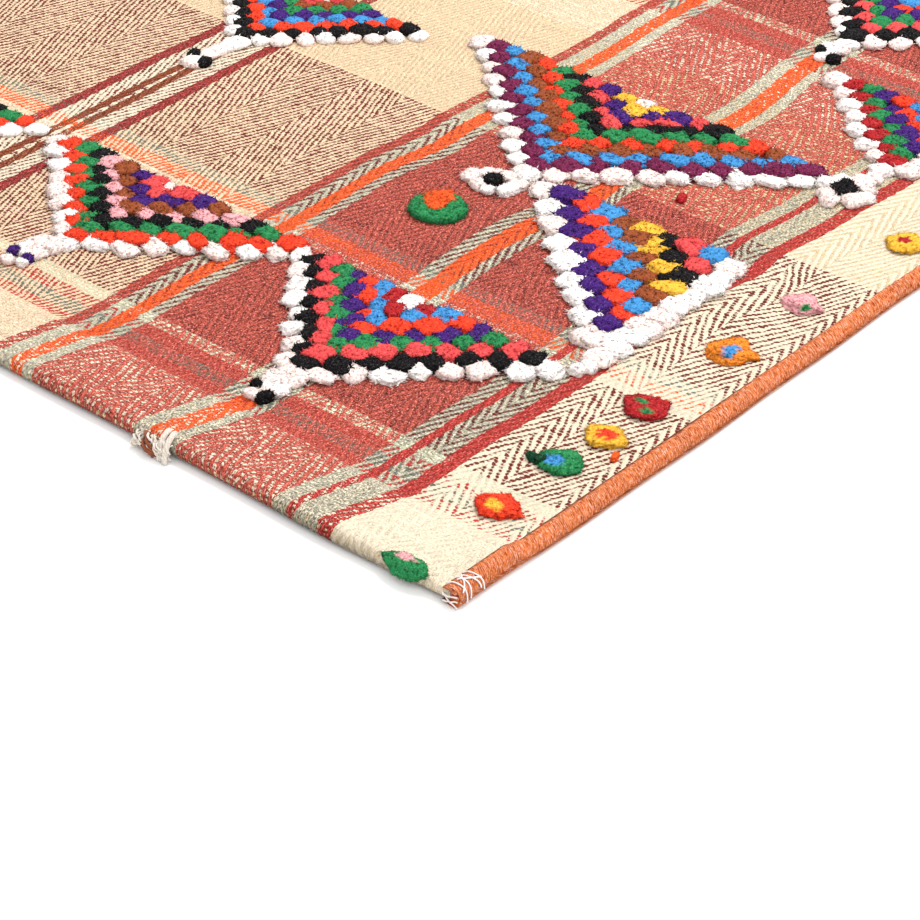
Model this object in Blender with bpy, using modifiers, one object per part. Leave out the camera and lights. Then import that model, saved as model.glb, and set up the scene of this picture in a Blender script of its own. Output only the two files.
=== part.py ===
"""Jajim rug lying flat: a woven cloth with turned-under ends, overcast sides and tufted wool motifs.

Places on the rug are given from its near corner: u runs along the length, v across the width.
"""

import math

import bmesh
import bpy
from mathutils import Vector

# Cloth
LENGTH = 1.500
WIDTH = 1.020
CLOTH = 0.003
LENGTH_STATIONS = 6
WIDTH_STATIONS = 12

# Turned-under ends
HEM_DEPTH = 0.045
HEM_HEIGHT = 0.011
LAYER_GAP = 0.0006
HEM_STEP = 0.014
NOSE_STEPS = 4
END_BULGE = 0.0030
END_BULGE_AT = 0.085
END_BULGE_SPREAD = 0.060
END_WANDER = 0.0004
END_WAVE = 0.37

# Overcast side edges
BINDING_WIDTH = 0.011
BINDING_HEIGHT = 0.0084
BINDING_JAW = 0.0021
BINDING_STATIONS = 34
BINDING_ARC_STEPS = 9
BINDING_MOUTH = 35
BINDING_SQUARENESS = 0.75
SIDE_BULGE = 0.0012
SIDE_BULGE_START = 0.020
SIDE_BULGE_WAVE = 0.560
SIDE_RIPPLE = 0.0004
SIDE_RIPPLE_WAVE = 0.117
EDGE_LIFT_FROM = 0.025
EDGE_LIFT_TO = 0.007

# Tufted pile
GAP = 0.0003
PILE = 0.0062
PILE_LUMP = 0.0010
PILE_RIM = 0.0040
HEAD_SHAPE = (0.62, 1.0, 0.75)
DOT_HEIGHT = 0.0048
DOT_ROUND = 0.35
DOT_SIDES = 8
DOT_RINGS = 4
BENT_DOT_SIDES = 12
BENT_DOT_RINGS = 11
DOT_LOBES = 3
DOT_UNEVEN = 0.08

# Yarn tassel that hangs over the near end
TASSEL_START = 0.199
TASSEL_WIDTH = 0.024
TASSEL_THICK = 0.0036
TASSEL_TOP = 0.003
TASSEL_LOCKS = 4
TASSEL_ROWS = 8
TASSEL_ROOT_ROWS = 2
TASSEL_ROOT_THICK = 0.0018
TASSEL_SHORTER = 0.08
TASSEL_FLARE_FROM = 0.45
TASSEL_REACH = 0.008
HEM_SEAT = 0.0009

# Motifs: tip is where the head ends and the stepped body begins, lines_down is how many lines of tufts
# are worked below the middle line, head_across is how far the head sits from that line
MOTIF_COLUMNS = (
    "name", "tip_u", "centre_v", "steps", "pitch_u", "pitch_up", "pitch_down", "lines_down",
    "head_u", "head_v", "head_across",
)
NEAR_MOTIFS = (
    ("arrow", 0.0910, 0.2035, 9, 0.0125, 0.0106, 0.0131, 8, 0.0265, 0.021, 0),
    ("arrow", 0.1090, 0.4040, 9, 0.0107, 0.0118, 0.0146, 7, 0.0335, 0.023, 0.005),
    ("half_low", 0.2180, 0.0865, 10, 0.0140, 0.0157, 0.0157, 0, 0, 0, 0),
    ("broad", 0.3530, 0.2510, 11, 0.0115, 0.0134, 0.0148, 9, 0.0295, 0.036, 0.007),
    ("half_high", 0.4993, 0.0884, 8, 0.0114, 0.0127, 0.0127, 1, 0.0530, 0.036, 0),
)
MIDDLE_MOTIF = ("middle", 0.3630, 0.5100, 9, 0.0107, 0.0109, 0.0109, 8, 0.036, 0.021, 0)
MOTIF_REPEATS = {"arrow": 3, "half_low": 3, "broad": 2, "half_high": 2, "middle": 2}
MOTIF_REPEAT = 0.533

# Single tufts: u, v, size along u, size along v. The near ones are uneven, the rest set out evenly.
NEAR_DOTS = (
    (0.077, 0.035, 0.022, 0.030),
    (0.131, 0.035, 0.022, 0.026),
    (0.165, 0.032, 0.022, 0.027),
    (0.202, 0.033, 0.024, 0.028),
    (0.279, 0.033, 0.024, 0.030),
    (0.346, 0.033, 0.019, 0.025),
    (0.442, 0.027, 0.023, 0.025),
)
FIELD_DOT = (0.292, 0.265, 0.038, 0.041)
HEM_DOT = (-0.0048, 0.031, 0.0145, 0.027)
HEM_DOT_HEIGHT = 0.0036
FURTHER_DOT_START = 0.560
FURTHER_DOT_STEP = 0.118
FURTHER_DOTS = 8
FAR_DOT_START = 0.105
FAR_DOT_STEP = 0.143
FAR_DOTS = 10
DOT_EDGE = 0.035
DOT_SIZE = 0.022
DOT_LENGTH = 0.026

PALETTE = {
    "cloth": (196, 104, 84),
    "binding": (240, 115, 50),
    "arrow": (250, 75, 45),
    "half_low": (75, 30, 125),
    "broad": (75, 155, 215),
    "half_high": (50, 140, 80),
    "middle": (155, 75, 35),
    "dot": (205, 60, 50),
    "field_dot": (50, 140, 80),
    "hem_dot": (30, 130, 70),
    "tassel": (238, 225, 215),
}
WOOL_ROUGHNESS = 0.95


def clear_scene():
    for thing in list(bpy.data.objects):
        bpy.data.objects.remove(thing, do_unlink=True)


def linear(channel):
    """A colour channel from 0 to 255 as the linear value that a shader takes."""
    value = channel / 255
    return value / 12.92 if value <= 0.04045 else ((value + 0.055) / 1.055) ** 2.4


def wool(name, colour):
    material = bpy.data.materials.new(name)
    material.use_nodes = True
    shader = material.node_tree.nodes["Principled BSDF"]
    shader.inputs["Base Color"].default_value = [linear(channel) for channel in PALETTE[colour]] + [1]
    shader.inputs["Roughness"].default_value = WOOL_ROUGHNESS
    shader.inputs["Metallic"].default_value = 0
    return material


def add_piece(collection, name, bm, colour, place, turn=0.0):
    """Make an object of the mesh, with its own material, at a place on the rug."""
    mesh = bpy.data.meshes.new(name)
    bm.to_mesh(mesh)
    bm.free()
    piece = bpy.data.objects.new(name, mesh)
    piece.location = on_rug(*place)
    piece.rotation_euler.z = turn
    mesh.materials.append(wool(name, colour))
    collection.objects.link(piece)
    return piece


def on_rug(u, v, z=0.0):
    """A place on the rug in the model's frame, whose origin is under the middle of the whole."""
    return Vector((u - (LENGTH - TASSEL_REACH) / 2, v - WIDTH / 2, z))


def smooth(t):
    t = min(max(t, 0.0), 1.0)
    return t * t * (3 - 2 * t)


def between(a, b, t):
    return a + (b - a) * t


# Where the cloth lies

def edge_share(v):
    """0 in the field and 1 at the side edges, where the cloth lifts into its binding."""
    inside = min(v, WIDTH - v)
    return min(max((EDGE_LIFT_FROM - inside) / (EDGE_LIFT_FROM - EDGE_LIFT_TO), 0.0), 1.0)


def edge_lift(v):
    return (BINDING_JAW + GAP) * edge_share(v)


def nose_radius(v):
    """Radius of the cloth's middle line in the fold, which the binding pinches at the sides."""
    pinched = (CLOTH + LAYER_GAP) / 2
    return between((HEM_HEIGHT - CLOTH) / 2, pinched, edge_share(v))


def upper_rise(u, v):
    """Height of the upper layer over the lower one, between their middle lines."""
    start = nose_radius(v)
    rest = CLOTH + LAYER_GAP
    if u <= HEM_DEPTH:
        return between(2 * start, rest, (u - start) / (HEM_DEPTH - start))
    return rest * (1 - (u - HEM_DEPTH) / HEM_STEP)


def ripple(place, wave):
    return math.sin(2 * math.pi * place / wave)


def end_wander(v, is_near=True):
    """How far the fold of an end lies inside the straight line; the near one bulges by its corner."""
    bulge = END_BULGE * math.exp(-((v - END_BULGE_AT) / END_BULGE_SPREAD) ** 2) if is_near else 0
    return (END_WANDER * (1 + ripple(v, END_WAVE)) - bulge) * (1 - edge_share(v))


def hem_line(v, is_near):
    """Middle line of a turned-under end, from the cut edge below, round the nose and up to the field."""
    radius = nose_radius(v)
    floor = CLOTH / 2 + edge_lift(v)
    shift = end_wander(v, is_near)
    line = [(HEM_DEPTH, floor), (between(radius, HEM_DEPTH, 0.5), floor)]
    for step in range(NOSE_STEPS + 1):
        turn = math.pi * step / NOSE_STEPS
        line.append((radius - radius * math.sin(turn), floor + radius - radius * math.cos(turn)))
    for u in (between(radius, HEM_DEPTH, 0.5), HEM_DEPTH):
        line.append((u, floor + upper_rise(u, v)))
    line.append((HEM_DEPTH + HEM_STEP, floor))
    return [(u + shift + CLOTH / 2, z) for u, z in line]


def cloth_line(v):
    """Middle line of the whole cloth along its length, as points (u, z)."""
    near = hem_line(v, True)
    far = [(LENGTH - u, z) for u, z in reversed(hem_line(v, False))]
    start, end = near[-1][0], far[0][0]
    floor = near[-1][1]
    field = [(between(start, end, step / LENGTH_STATIONS), floor) for step in range(1, LENGTH_STATIONS)]
    return near + field + far


def width_stations():
    """Places across the width: close together where the edges lift and evenly spread between."""
    side = [0.0, EDGE_LIFT_TO, EDGE_LIFT_FROM]
    span = WIDTH - 2 * EDGE_LIFT_FROM
    field = [EDGE_LIFT_FROM + span * step / WIDTH_STATIONS for step in range(1, WIDTH_STATIONS)]
    return side + field + [WIDTH - v for v in reversed(side)]


def build_cloth(collection):
    """A grid bent to the folded middle surface and given the cloth's thickness."""
    lines = [(v, cloth_line(v)) for v in width_stations()]
    columns = len(lines[0][1]) - 1
    rows = len(lines) - 1
    bm, column_line, row_line, _ = lattice(columns, rows)
    for vert in bm.verts:
        v, line = lines[vert[row_line]]
        u, z = line[vert[column_line]]
        vert.co = (u, v, z)
    cloth = add_piece(collection, "cloth", bm, "cloth", (0, 0))
    body = cloth.modifiers.new("Thickness", "SOLIDIFY")
    body.thickness = CLOTH
    body.offset = 0
    body.use_even_offset = True


# Overcast sides

def side_wander(u):
    bulge = SIDE_BULGE * (1 + ripple(u - SIDE_BULGE_START, SIDE_BULGE_WAVE))
    return SIDE_RIPPLE * ripple(u, SIDE_RIPPLE_WAVE) - bulge


def side_top(u):
    """Top of the cloth at its side edge, over one layer in the field and two in a turned-under end."""
    inside = min(u, LENGTH - u) - CLOTH / 2
    layers = upper_rise(inside, 0) if inside < HEM_DEPTH + HEM_STEP else 0
    return edge_lift(0) + CLOTH + min(max(layers, 0), CLOTH + LAYER_GAP)


def squared(value):
    """A sine or cosine pushed outward, so that the round section fills its box more."""
    return math.copysign(abs(value) ** BINDING_SQUARENESS, value)


def binding_section(u):
    """Outline of the overcasting across the edge: a rounded wrap with a slot that holds the cloth."""
    slot_low = edge_lift(0) - GAP
    slot_high = side_top(u) + GAP
    height = slot_high + BINDING_HEIGHT - BINDING_JAW - CLOTH - 2 * GAP
    half = BINDING_WIDTH / 2
    outline = [(-GAP, slot_low), (half, slot_low)]
    for step in range(BINDING_ARC_STEPS + 1):
        turn = math.radians(between(-BINDING_MOUTH, BINDING_MOUTH - 360, step / BINDING_ARC_STEPS))
        across, up = squared(math.cos(turn)), squared(math.sin(turn))
        outline.append((half * across + side_wander(u), height / 2 * (1 + up)))
    outline += [(half, slot_high), (-GAP, slot_high)]
    return outline


def binding_stations():
    hem = [0.0, HEM_DEPTH / 2, CLOTH / 2 + HEM_DEPTH, CLOTH / 2 + HEM_DEPTH + HEM_STEP]
    start, end = hem[-1], LENGTH - hem[-1]
    field = [between(start, end, step / BINDING_STATIONS) for step in range(1, BINDING_STATIONS)]
    return hem + field + [LENGTH - u for u in reversed(hem)]


def build_binding(collection, name, place, turn):
    """The overcasting of one side, lofted through its sections by drawing its end face on."""
    bm = bmesh.new()
    stations = binding_stations()
    corner = bm.verts.layers.int.new("corner")
    for index, (v, z) in enumerate(binding_section(stations[0])):
        bm.verts.new((stations[0], v, z))[corner] = index
    first = last = bm.faces.new(bm.verts)
    for u in stations[1:]:
        outline = binding_section(u)
        drawn = bmesh.ops.extrude_face_region(bm, geom=[last])["geom"]
        for vert in (part for part in drawn if isinstance(part, bmesh.types.BMVert)):
            vert.co = (u, *outline[vert[corner]])
        if last is not first:
            bmesh.ops.delete(bm, geom=[last], context="FACES_ONLY")
        last = next(part for part in drawn if isinstance(part, bmesh.types.BMFace))
    bmesh.ops.recalc_face_normals(bm, faces=bm.faces)
    add_piece(collection, name, bm, "binding", place, turn)


# Tufted pile

def lattice(columns, rows):
    """A grid whose points know their column line, their row line and whether they are on the rim."""
    bm = bmesh.new()
    column_line = bm.verts.layers.int.new("column_line")
    row_line = bm.verts.layers.int.new("row_line")
    rim = bm.verts.layers.int.new("rim")
    bmesh.ops.create_grid(bm, x_segments=columns, y_segments=rows, size=0.5)
    for vert in bm.verts:
        vert[column_line] = round((vert.co.x + 0.5) * columns)
        vert[row_line] = round((vert.co.y + 0.5) * rows)
    return bm, column_line, row_line, rim


def keep_cells(bm, columns, rows, wanted, rim):
    """Delete the cells that are not wanted, and mark the points of the new outline."""
    spare = []
    for face in bm.faces:
        middle = face.calc_center_median()
        if not wanted(int((middle.x + 0.5) * columns), int((middle.y + 0.5) * rows)):
            spare.append(face)
    bmesh.ops.delete(bm, geom=spare, context="FACES")
    for vert in bm.verts:
        vert[rim] = int(vert.is_boundary)


def raise_cells(bm, place):
    """Give the cells a body: place(vert, is_top) says where a point of the lower or upper face goes."""
    lower = list(bm.faces)
    raised = bmesh.ops.extrude_face_region(bm, geom=lower)["geom"]
    tops = {part for part in raised if isinstance(part, bmesh.types.BMVert)}
    for vert in bm.verts:
        vert.co = place(vert, vert in tops)
    return lower


def build_motif(collection, name, row, shift_u, mirrored):
    """A stepped arrow of tufts, wider by one tuft each way at every step from its tip."""
    motif = dict(zip(MOTIF_COLUMNS, row))
    steps = motif["steps"]
    head_steps = len(HEAD_SHAPE) if motif["head_u"] else 0
    columns = steps + head_steps
    rows = 2 * steps - 1
    bm, column_line, row_line, rim = lattice(columns, rows)

    def wanted(column, row_index):
        step = column - head_steps
        row_from_middle = row_index - (steps - 1)
        if row_from_middle < -motif["lines_down"]:
            return False
        return abs(row_from_middle) <= max(step, 0)

    def place(vert, is_top):
        line = vert[column_line] - head_steps
        row_place = vert[row_line] - (steps - 0.5)
        pitch_v = motif["pitch_up"] if row_place > 0 else motif["pitch_down"]
        x = line * motif["pitch_u"]
        y = row_place * pitch_v
        if line < 0:
            x = line * motif["head_u"] / head_steps
            half = motif["head_v"] * HEAD_SHAPE[line + head_steps] / 2
            y = motif["head_across"] + math.copysign(half, row_place)
        if mirrored:
            y = -y
        lump = PILE_LUMP * ((vert[column_line] + vert[row_line]) % 2)
        top = PILE_RIM + lump / 2 if vert[rim] else PILE - PILE_LUMP + lump
        return Vector((x, y, top if is_top else 0))

    keep_cells(bm, columns, rows, wanted, rim)
    lower = raise_cells(bm, place)
    bmesh.ops.dissolve_faces(bm, faces=lower)
    bmesh.ops.recalc_face_normals(bm, faces=bm.faces)
    centre = WIDTH - motif["centre_v"] if mirrored else motif["centre_v"]
    spot = (motif["tip_u"] + shift_u, centre, CLOTH + GAP)
    add_piece(collection, name, bm, motif["name"], spot)


def build_motifs(collection):
    """The near half's motifs and their mirror images, repeated along the length."""
    for number, row in enumerate(NEAR_MOTIFS, start=1):
        for repeat in range(MOTIF_REPEATS[row[0]]):
            shift = repeat * MOTIF_REPEAT
            build_motif(collection, f"{row[0]}_{number}_near_{repeat + 1}", row, shift, False)
            build_motif(collection, f"{row[0]}_{number}_far_{repeat + 1}", row, shift, True)
    for repeat in range(MOTIF_REPEATS["middle"]):
        build_motif(collection, f"middle_{repeat + 1}", MIDDLE_MOTIF, repeat * MOTIF_REPEAT, False)


def dome(v, size_u, size_v, tall=DOT_HEIGHT, sides=DOT_SIDES, rings=DOT_RINGS):
    """A low round tuft with a slightly uneven outline, whose underside follows the cloth at v."""
    bm = bmesh.new()
    bmesh.ops.create_uvsphere(bm, u_segments=sides, v_segments=rings, radius=1)
    for vert in bm.verts:
        swell = 1 + DOT_UNEVEN * math.sin(DOT_LOBES * math.atan2(vert.co.y, vert.co.x))
        height = max(vert.co.z + DOT_ROUND, 0) / (1 + DOT_ROUND)
        across = vert.co.y * size_v / 2 * swell
        vert.co = (vert.co.x * size_u / 2 * swell, across, height * tall + edge_lift(v + across))
    return bm


def build_dots(collection):
    """The single tufts along both borders and the large one in the field."""
    further = [(FURTHER_DOT_START + FURTHER_DOT_STEP * step, DOT_EDGE, DOT_SIZE, DOT_LENGTH)
               for step in range(FURTHER_DOTS)]
    far = [(FAR_DOT_START + FAR_DOT_STEP * step, WIDTH - DOT_EDGE, DOT_SIZE, DOT_LENGTH)
           for step in range(FAR_DOTS)]
    for side, dots in (("near", list(NEAR_DOTS) + further), ("far", far)):
        for number, (u, v, size_u, size_v) in enumerate(dots, start=1):
            name = f"dot_{side}_{number}"
            add_piece(collection, name, dome(v, size_u, size_v), "dot", (u, v, CLOTH + GAP))
    u, v, size_u, size_v = FIELD_DOT
    add_piece(collection, "dot_field", dome(v, size_u, size_v), "field_dot", (u, v, CLOTH + GAP))


# What lies over the near end's fold

def over_nose(along, height):
    """(u, z) at a height over the near end's fold; along runs inward from the top of its nose."""
    radius = HEM_HEIGHT / 2
    quarter = radius * math.pi / 2
    slope = (HEM_HEIGHT - 2 * CLOTH - LAYER_GAP) / (HEM_DEPTH - radius)
    if along >= 0:
        return radius + along, HEM_HEIGHT - slope * along + height
    if along >= -quarter:
        turn = -along / radius
        reach = radius + height
        return radius - reach * math.sin(turn), radius + reach * math.cos(turn)
    drop = -along - quarter
    return -height, radius - drop


def build_hem_dot(collection):
    """A tuft like the others, bent over the fold of the near end."""
    along, v, size_u, size_v = HEM_DOT
    bm = dome(v, size_u, size_v, HEM_DOT_HEIGHT, BENT_DOT_SIDES, BENT_DOT_RINGS)
    for vert in bm.verts:
        over_u, z = over_nose(along + vert.co.x, vert.co.z + HEM_SEAT)
        vert.co = (over_u + end_wander(v + vert.co.y), vert.co.y, z)
    add_piece(collection, "dot_hem", bm, "hem_dot", (0, v))


def build_tassel(collection):
    """Yarn locks that hang over the near end from one stitched root."""
    columns = 2 * TASSEL_LOCKS - 1
    bm, column_line, row_line, rim = lattice(columns, TASSEL_ROWS)
    full_drop = TASSEL_TOP + HEM_HEIGHT / 2 * (1 + math.pi / 2) - HEM_SEAT
    flare = TASSEL_REACH - HEM_SEAT - TASSEL_THICK

    def wanted(column, row_index):
        return row_index < TASSEL_ROOT_ROWS or column % 2 == 0

    def place(vert, is_top):
        share = vert[row_line] / TASSEL_ROWS
        lock = vert[column_line] // 2
        length = full_drop * (1 - TASSEL_SHORTER * (lock % 2))
        thick = TASSEL_THICK if vert[row_line] else TASSEL_ROOT_THICK
        u, z = over_nose(TASSEL_TOP - length * share, HEM_SEAT + (thick if is_top else 0))
        u -= flare * smooth((share - TASSEL_FLARE_FROM) / (1 - TASSEL_FLARE_FROM))
        return Vector((u, vert[column_line] / columns * TASSEL_WIDTH, z))

    keep_cells(bm, columns, TASSEL_ROWS, wanted, rim)
    raise_cells(bm, place)
    bmesh.ops.recalc_face_normals(bm, faces=bm.faces)
    add_piece(collection, "tassel", bm, "tassel", (0, TASSEL_START))


def build_rug():
    clear_scene()
    collection = bpy.data.collections.new("jajim_rug")
    bpy.context.scene.collection.children.link(collection)
    build_cloth(collection)
    build_binding(collection, "binding_near", (0, 0), 0)
    build_binding(collection, "binding_far", (LENGTH, WIDTH), math.pi)
    build_motifs(collection)
    build_dots(collection)
    build_hem_dot(collection)
    build_tassel(collection)


build_rug()
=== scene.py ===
"""Jajim rug: herringbone cloth with turned-under ends, overcast sides and tufted wool motifs.

Places on the rug are given from its near corner: u runs along the length, v across the width.
Lengths are in metres, except in the cloth's finish, which counts in millimetres.
"""

import math
import random

import bpy
from mathutils import Matrix, Vector, noise


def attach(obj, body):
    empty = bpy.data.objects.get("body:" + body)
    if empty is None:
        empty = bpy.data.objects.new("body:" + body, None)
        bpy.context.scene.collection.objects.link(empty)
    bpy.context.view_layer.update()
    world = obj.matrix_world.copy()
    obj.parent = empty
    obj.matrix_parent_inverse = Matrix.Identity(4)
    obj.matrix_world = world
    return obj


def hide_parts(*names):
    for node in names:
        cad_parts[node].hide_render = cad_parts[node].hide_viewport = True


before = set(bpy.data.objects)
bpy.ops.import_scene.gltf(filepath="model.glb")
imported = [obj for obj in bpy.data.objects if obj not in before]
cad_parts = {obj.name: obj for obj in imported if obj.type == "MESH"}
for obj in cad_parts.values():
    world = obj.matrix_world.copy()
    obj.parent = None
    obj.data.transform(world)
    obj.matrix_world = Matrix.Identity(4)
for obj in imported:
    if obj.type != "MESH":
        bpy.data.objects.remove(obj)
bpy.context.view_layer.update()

# The rug's own measures, as in the CAD
LENGTH = 1.500
WIDTH = 1.020
CLOTH = 0.003
HEM_DEPTH = 0.045
HEM_HEIGHT = 0.011
LAYER_GAP = 0.0006
HEM_STEP = 0.014
END_BULGE = 0.0030
END_BULGE_AT = 0.085
END_BULGE_SPREAD = 0.060
END_WANDER = 0.0004
END_WAVE = 0.37
BINDING_WIDTH = 0.011
BINDING_HEIGHT = 0.0084
BINDING_JAW = 0.0021
BINDING_MOUTH = 35
BINDING_SQUARENESS = 0.75
SIDE_BULGE = 0.0012
SIDE_BULGE_START = 0.020
SIDE_BULGE_WAVE = 0.560
SIDE_RIPPLE = 0.0004
SIDE_RIPPLE_WAVE = 0.117
EDGE_LIFT_FROM = 0.025
EDGE_LIFT_TO = 0.007
GAP = 0.0003
PILE = 0.0062
HEM_SEAT = 0.0009
TASSEL_START = 0.199
TASSEL_WIDTH = 0.024
TASSEL_TOP = 0.003
TASSEL_REACH = 0.008
CLOTH_TOP = CLOTH + GAP

# Wool colours, as sRGB
WOOL = {
    "cream": (234, 218, 192),
    "oat": (234, 204, 170),
    "sage": (214, 214, 184),
    "ecru": (216, 192, 152),
    "coral": (188, 60, 52),
    "dull_coral": (186, 78, 62),
    "grey": (188, 182, 160),
    "slate": (112, 114, 102),
    "red": (198, 92, 76),
    "deep_red": (166, 56, 50),
    "madder": (112, 44, 38),
    "orange": (238, 94, 38),
    "edge_orange": (222, 124, 68),
    "white": (255, 247, 243),
    "undyed": (240, 228, 214),
    "blush": (252, 232, 225),
    "black": (12, 9, 12),
    "green": (40, 132, 76),
    "pine": (18, 70, 44),
    "purple": (66, 28, 112),
    "vermilion": (240, 66, 36),
    "sky": (66, 144, 204),
    "crimson": (176, 34, 38),
    "pink": (240, 172, 176),
    "rose": (228, 78, 78),
    "brown": (148, 74, 38),
    "yellow": (240, 184, 60),
    "amber": (240, 140, 44),
    "plum": (116, 32, 72),
}

# How much of its colour a wool keeps under this strong studio light
WOOL_SHARE = 0.75


def linear(name, share=WOOL_SHARE):
    """A wool's colour as the linear values that a shader takes."""
    values = []
    for channel in WOOL[name]:
        value = channel / 255
        value = value / 12.92 if value <= 0.04045 else ((value + 0.055) / 1.055) ** 2.4
        values.append(value * share)
    return (*values, 1.0)


# Places and sections

def on_rug(u, v, z=0.0):
    """A place on the rug in the model's frame, whose origin is under the middle of the whole."""
    return Vector((u - (LENGTH - TASSEL_REACH) / 2, v - WIDTH / 2, z))


def between(a, b, t):
    return a + (b - a) * t


def smooth(t):
    t = min(max(t, 0.0), 1.0)
    return t * t * (3 - 2 * t)


def ripple(place, wave):
    return math.sin(2 * math.pi * place / wave)


def edge_share(v):
    """0 in the field and 1 at the side edges, where the cloth lifts into its binding."""
    inside = min(v, WIDTH - v)
    return min(max((EDGE_LIFT_FROM - inside) / (EDGE_LIFT_FROM - EDGE_LIFT_TO), 0.0), 1.0)


def edge_lift(v):
    return (BINDING_JAW + GAP) * edge_share(v)


def nose_radius(v):
    """Radius of the cloth's middle line in the fold, which the binding pinches at the sides."""
    return between((HEM_HEIGHT - CLOTH) / 2, (CLOTH + LAYER_GAP) / 2, edge_share(v))


def upper_rise(u, v):
    """Height of the upper layer over the lower one, between their middle lines."""
    start = nose_radius(v)
    rest = CLOTH + LAYER_GAP
    if u <= HEM_DEPTH:
        return between(2 * start, rest, (u - start) / (HEM_DEPTH - start))
    return rest * (1 - smooth((u - HEM_DEPTH) / HEM_STEP))


def end_wander(v, is_near=True):
    """How far the fold of an end lies inside the straight line; the near one bulges by its corner."""
    bulge = END_BULGE * math.exp(-((v - END_BULGE_AT) / END_BULGE_SPREAD) ** 2) if is_near else 0
    return (END_WANDER * (1 + ripple(v, END_WAVE)) - bulge) * (1 - edge_share(v))


def over_nose(along, height):
    """(u, z) at a height over the near end's fold; along runs inward from the top of its nose."""
    radius = HEM_HEIGHT / 2
    quarter = radius * math.pi / 2
    slope = (HEM_HEIGHT - 2 * CLOTH - LAYER_GAP) / (HEM_DEPTH - radius)
    if along >= 0:
        return radius + along, HEM_HEIGHT - slope * along + height
    if along >= -quarter:
        turn = -along / radius
        reach = radius + height
        return radius - reach * math.sin(turn), radius + reach * math.cos(turn)
    return -height, radius + along + quarter


# Work on pieces

def work_on(piece):
    if bpy.context.object and bpy.context.object.mode != "OBJECT":
        bpy.ops.object.mode_set(mode="OBJECT")
    bpy.ops.object.select_all(action="DESELECT")
    piece.select_set(True)
    bpy.context.view_layer.objects.active = piece


def apply_modifiers(piece):
    work_on(piece)
    for modifier in list(piece.modifiers):
        bpy.ops.object.modifier_apply(modifier=modifier.name)


def select_vertices(piece, wanted):
    """In edit mode, select the vertices that wanted(place) names."""
    work_on(piece)
    bpy.ops.object.mode_set(mode="EDIT")
    bpy.ops.mesh.select_mode(type="VERT")
    bpy.ops.mesh.select_all(action="DESELECT")
    bpy.ops.object.mode_set(mode="OBJECT")
    for vertex in piece.data.vertices:
        vertex.select = wanted(vertex.co)
    bpy.ops.object.mode_set(mode="EDIT")


def add_object(name, data):
    piece = bpy.data.objects.new(name, data)
    bpy.context.scene.collection.objects.link(piece)
    return piece


def dress(piece, material, slot_name, *nodes):
    """Give a finished piece its wool and its body, and hide the solids that it stands for; its slot name is
    not used.
    """
    piece.data.materials.clear()
    piece.data.materials.append(material)
    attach(piece, "root")
    if nodes:
        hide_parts(*nodes)
    return piece


# Shader maths

class Value:
    """One socket of a finish, so that shader maths reads as Python."""

    def __init__(self, finish, socket):
        self.finish = finish
        self.socket = socket

    def other(self, name):
        """Another output of the same node."""
        return Value(self.finish, self.socket.node.outputs[name])

    def maths(self, operation, *values):
        return self.finish.node("ShaderNodeMath", {"operation": operation}, values)

    def __add__(self, other):
        return self.maths("ADD", self, other)

    __radd__ = __add__

    def __sub__(self, other):
        return self.maths("SUBTRACT", self, other)

    def __rsub__(self, other):
        return self.maths("SUBTRACT", other, self)

    def __mul__(self, other):
        return self.maths("MULTIPLY", self, other)

    __rmul__ = __mul__

    def __truediv__(self, other):
        return self.maths("DIVIDE", self, other)

    def floor(self):
        return self.maths("FLOOR", self)

    def fraction(self):
        return self.maths("FRACT", self)

    def sine(self):
        return self.maths("SINE", self)

    def least(self, other):
        return self.maths("MINIMUM", self, other)

    def most(self, other):
        return self.maths("MAXIMUM", self, other)

    def crown(self):
        """1 in the middle of a yarn and 0 at its sides, from the share of its width."""
        offset = self * 2 - 1
        return 1 - offset * offset

    def step(self, start, end, low=0.0, high=1.0):
        """A smooth change from low to high between two values."""
        settings = {"interpolation_type": "SMOOTHSTEP"}
        return self.finish.node("ShaderNodeMapRange", settings, [self, start, end, low, high])


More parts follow.
